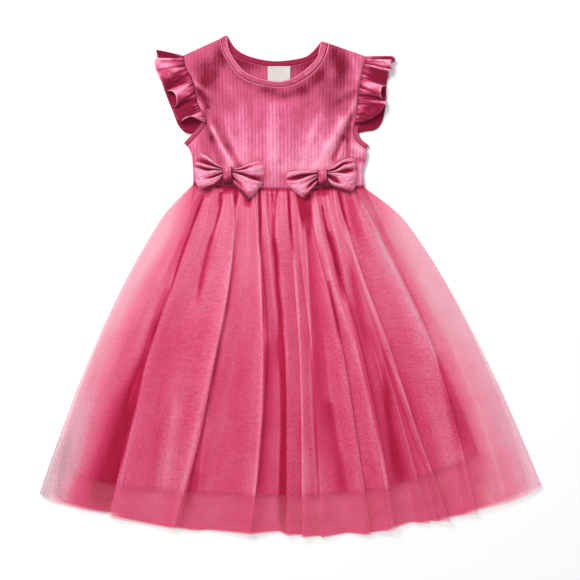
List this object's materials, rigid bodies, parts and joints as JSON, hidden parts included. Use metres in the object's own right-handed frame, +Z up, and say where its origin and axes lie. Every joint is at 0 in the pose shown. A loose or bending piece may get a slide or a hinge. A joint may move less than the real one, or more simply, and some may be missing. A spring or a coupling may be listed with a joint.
{
  "type": "toddler party dress",
  "caption": "Toddler party dress laid flat, with a ribbed bodice, gathered sleeve ruffles, bows at the waist and a tulle skirt over a lining.",
  "frame": {"origin": "under the middle of the dress's bounding box, on the surface that it lies on", "axes": "+Z up from the surface, +Y towards the neck, +X to the right as the dress is seen from above"},
  "size_m": [0.628, 0.6276, 0.0191],
  "materials": {
    "rib_knit": "matt fine rib knit, pink",
    "rib_binding": "matt rib knit binding, pink",
    "ruffle_cloth": "soft matt cloth, pink",
    "bow_cloth": "matt crinkled cloth, pink",
    "tulle": "sheer fine tulle, pink",
    "lining": "smooth matt lining, deep pink",
    "label": "bare woven label, off-white"
  },
  "bodies": {
    "root": {"bodice_front": "rib_knit", "bodice_back": "rib_knit", "neck_binding_front": "rib_binding", "neck_binding_back": "rib_binding", "neck_label": "label", "arm_binding_front_left": "rib_binding", "arm_binding_back_left": "rib_binding", "arm_binding_front_right": "rib_binding", "arm_binding_back_right": "rib_binding", "sleeve_ruffle_left": "ruffle_cloth", "sleeve_ruffle_right": "ruffle_cloth", "skirt_tulle_front": "tulle", "skirt_tulle_back": "tulle", "skirt_lining_front": "lining", "skirt_lining_back": "lining", "bow_left_body": "bow_cloth", "bow_left_knot": "bow_cloth", "bow_right_body": "bow_cloth", "bow_right_knot": "bow_cloth"}
  },
  "joints": []
}
